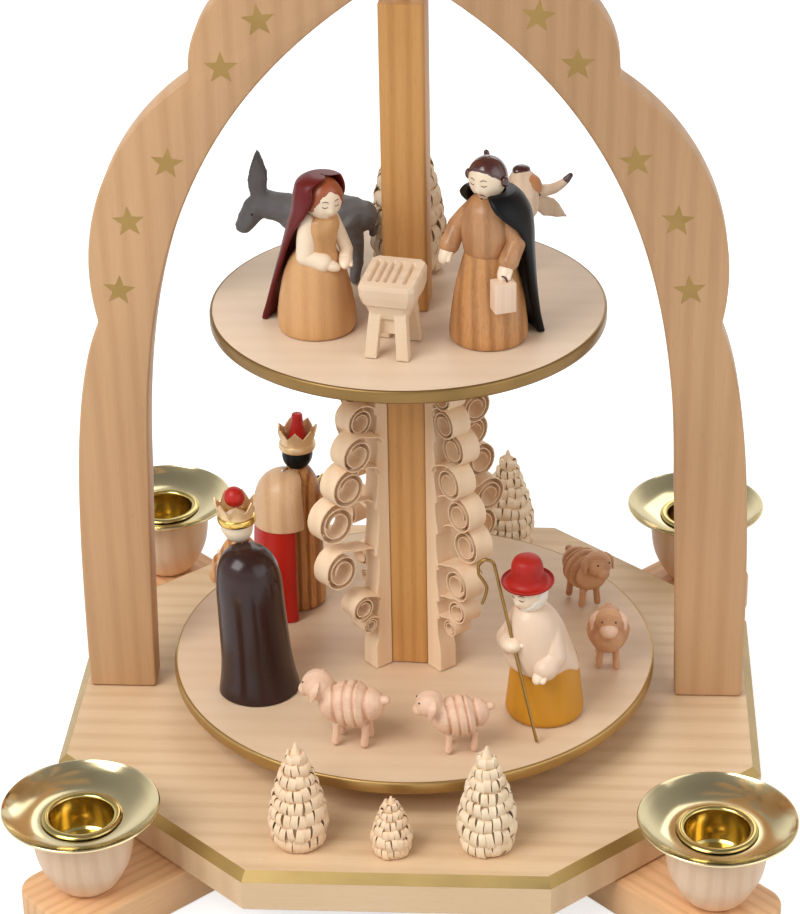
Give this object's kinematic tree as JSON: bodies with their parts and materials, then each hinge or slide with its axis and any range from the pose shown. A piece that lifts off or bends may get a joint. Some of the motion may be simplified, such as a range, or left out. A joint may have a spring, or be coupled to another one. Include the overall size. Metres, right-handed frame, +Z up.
{
  "type": "candle carousel",
  "caption": "Wooden candle carousel: warm air from candles in brass cups turns a rotor whose spindle carries round tiers of carved figures inside a pointed arch on an octagonal base.",
  "frame": {"origin": "resting plane under the spindle", "axes": "+Z up along the spindle, front towards -Y, +X to the right"},
  "size_m": [0.26, 0.26, 0.3229],
  "materials": {
    "beech": "smooth unpainted beech under a thin clear coat",
    "plate_wood": "planed board with straight grain along X and a gilded chamfer",
    "cream_wood": "pale sanded lime wood",
    "post_wood": "golden brown stained and gilded wood",
    "shaved_wood": "raw shaved lime wood",
    "brass": "polished spun sheet",
    "steel": "ground bright rod",
    "glass": "clear moulded glass",
    "robe_wood": "turned and carved wood, oiled and partly painted",
    "dark_red_lacquer": "carved wood in dark red gloss lacquer",
    "black_lacquer": "carved wood in black gloss lacquer",
    "brown_lacquer": "turned wood in dark brown gloss lacquer",
    "red_lacquer": "turned wood in red lacquer below a bare shoulder cape",
    "ochre_lacquer": "turned wood in yellow ochre lacquer, with painted cape and hat",
    "grey_paint": "carved wood painted grey",
    "sheep_wood": "carved wood with grooves in the wool",
    "bronze_wire": "dark drawn bronze wire"
  },
  "bodies": {
    "stand": {"foot_board_lower": "beech", "foot_board_upper": "beech", "base_plate": "plate_wood", "glass_bearing": "glass", "arch": "beech", "top_bush": "brass", "candle_cup_back_right": "beech", "drip_tray_back_right": "brass", "candle_socket_back_right": "brass", "candle_cup_back_left": "beech", "drip_tray_back_left": "brass", "candle_socket_back_left": "brass", "candle_cup_front_left": "beech", "drip_tray_front_left": "brass", "candle_socket_front_left": "brass", "candle_cup_front_right": "beech", "drip_tray_front_right": "brass", "candle_socket_front_right": "brass", "tree_front_left": "shaved_wood", "tree_front_middle": "shaved_wood", "tree_front_right": "shaved_wood", "tree_back_right": "shaved_wood"},
    "carousel": {"spindle": "steel", "lower_disc": "cream_wood", "upper_disc": "cream_wood", "lower_post": "post_wood", "upper_post": "post_wood", "curl_fin_back_right": "shaved_wood", "curl_fin_back_left": "shaved_wood", "curl_fin_front_left": "shaved_wood", "curl_fin_front_right": "shaved_wood", "tree_upper_tier": "shaved_wood", "woman_figure": "robe_wood", "woman_cloak": "dark_red_lacquer", "man_figure": "robe_wood", "man_cloak": "black_lacquer", "crib": "shaved_wood", "donkey": "grey_paint", "ox": "cream_wood", "sheep_1": "sheep_wood", "sheep_2": "sheep_wood", "sheep_3": "sheep_wood", "sheep_4": "sheep_wood", "king_1_figure": "robe_wood", "king_1_cloak": "brown_lacquer", "king_2_figure": "robe_wood", "king_2_cloak": "red_lacquer", "shepherd": "ochre_lacquer", "shepherd_crook": "bronze_wire", "rotor_hub": "beech", "rotor_finial": "beech"},
    "blade_1": {"rotor_blade_1": "cream_wood"},
    "blade_2": {"rotor_blade_2": "cream_wood"},
    "blade_3": {"rotor_blade_3": "cream_wood"},
    "blade_4": {"rotor_blade_4": "cream_wood"},
    "blade_5": {"rotor_blade_5": "cream_wood"},
    "blade_6": {"rotor_blade_6": "cream_wood"},
    "blade_7": {"rotor_blade_7": "cream_wood"},
    "blade_8": {"rotor_blade_8": "cream_wood"}
  },
  "joints": [
    {"name": "carousel_spin", "type": "hinge", "parent": "stand", "child": "carousel", "pos_m": [0, 0, 0.0246], "axis": [0, 0, 1], "continuous": true},
    {"name": "blade_1_pitch", "type": "hinge", "parent": "carousel", "child": "blade_1", "pos_m": [0.02, 0, 0.3006], "axis": [1, 0, 0], "range_deg": [-30, 30]},
    {"name": "blade_2_pitch", "type": "hinge", "parent": "carousel", "child": "blade_2", "pos_m": [0.01414, 0.01414, 0.3006], "axis": [0.7071, 0.7071, 0], "range_deg": [-30, 30]},
    {"name": "blade_3_pitch", "type": "hinge", "parent": "carousel", "child": "blade_3", "pos_m": [0, 0.02, 0.3006], "axis": [0, 1, 0], "range_deg": [-30, 30]},
    {"name": "blade_4_pitch", "type": "hinge", "parent": "carousel", "child": "blade_4", "pos_m": [-0.01414, 0.01414, 0.3006], "axis": [-0.7071, 0.7071, 0], "range_deg": [-30, 30]},
    {"name": "blade_5_pitch", "type": "hinge", "parent": "carousel", "child": "blade_5", "pos_m": [-0.02, 0, 0.3006], "axis": [-1, 0, 0], "range_deg": [-30, 30]},
    {"name": "blade_6_pitch", "type": "hinge", "parent": "carousel", "child": "blade_6", "pos_m": [-0.01414, -0.01414, 0.3006], "axis": [-0.7071, -0.7071, 0], "range_deg": [-30, 30]},
    {"name": "blade_7_pitch", "type": "hinge", "parent": "carousel", "child": "blade_7", "pos_m": [0, -0.02, 0.3006], "axis": [0, -1, 0], "range_deg": [-30, 30]},
    {"name": "blade_8_pitch", "type": "hinge", "parent": "carousel", "child": "blade_8", "pos_m": [0.01414, -0.01414, 0.3006], "axis": [0.7071, -0.7071, 0], "range_deg": [-30, 30]}
  ]
}
